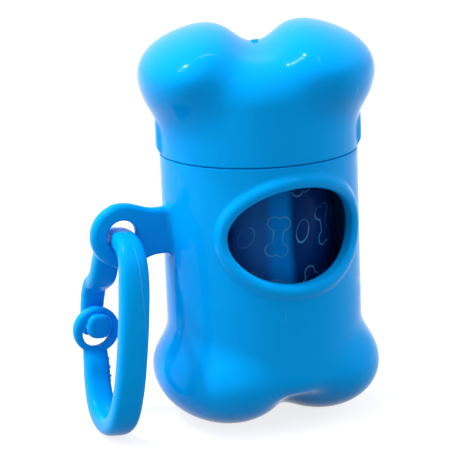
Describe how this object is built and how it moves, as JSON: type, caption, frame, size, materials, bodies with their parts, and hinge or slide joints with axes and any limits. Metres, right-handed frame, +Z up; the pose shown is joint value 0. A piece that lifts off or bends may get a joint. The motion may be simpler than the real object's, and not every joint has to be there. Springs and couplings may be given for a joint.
{
  "type": "waste bag dispenser",
  "caption": "Bone-shaped dispenser for a roll of waste bags, with an oval window, a pull-off lid and a loop clip on a hang eye.",
  "frame": {"origin": "under the middle of the dispenser's box, on the surface it stands on; the barrel's axis is 6.66 mm along +X from it", "axes": "+Z up along the barrel's axis, -Y out of the window, -X towards the hang eye and clip"},
  "size_m": [0.0617, 0.0452, 0.0807],
  "materials": {
    "case_plastic": "glossy moulded polypropylene",
    "film": "thin satin film",
    "paper": "plain wound paper"
  },
  "bodies": {
    "case": {"base": "case_plastic"},
    "lid": {"lid": "case_plastic"},
    "clip": {"clip_loop": "case_plastic"},
    "tongue": {"clip_tongue": "case_plastic"},
    "roll": {"roll_core": "paper", "bag_01": "film", "bag_02": "film", "bag_03": "film", "bag_04": "film", "bag_05": "film", "bag_06": "film", "bag_07": "film", "bag_08": "film", "bag_09": "film", "bag_10": "film", "bag_11": "film", "bag_12": "film", "bag_13": "film", "bag_14": "film", "bag_15": "film"}
  },
  "joints": [
    {"name": "lid_lift", "type": "slide", "parent": "case", "child": "lid", "axis": [0, 0, 1], "range_m": [0, 0.03]},
    {"name": "roll_spin", "type": "hinge", "parent": "case", "child": "roll", "pos_m": [0.00666, 0, 0.04], "axis": [0, 0, 1], "continuous": true},
    {"name": "clip_swing", "type": "hinge", "parent": "case", "child": "clip", "pos_m": [-0.02344, 0, 0.041], "axis": [0, 1, 0], "range_deg": [-15, 165]},
    {"name": "latch_flex", "type": "hinge", "parent": "clip", "child": "tongue", "pos_m": [-0.02474, 0.0115, 0.02957], "axis": [0.9936, 0, -0.1132], "range_deg": [0, 36], "stiffness_Nm_per_rad": 0.002}
  ]
}
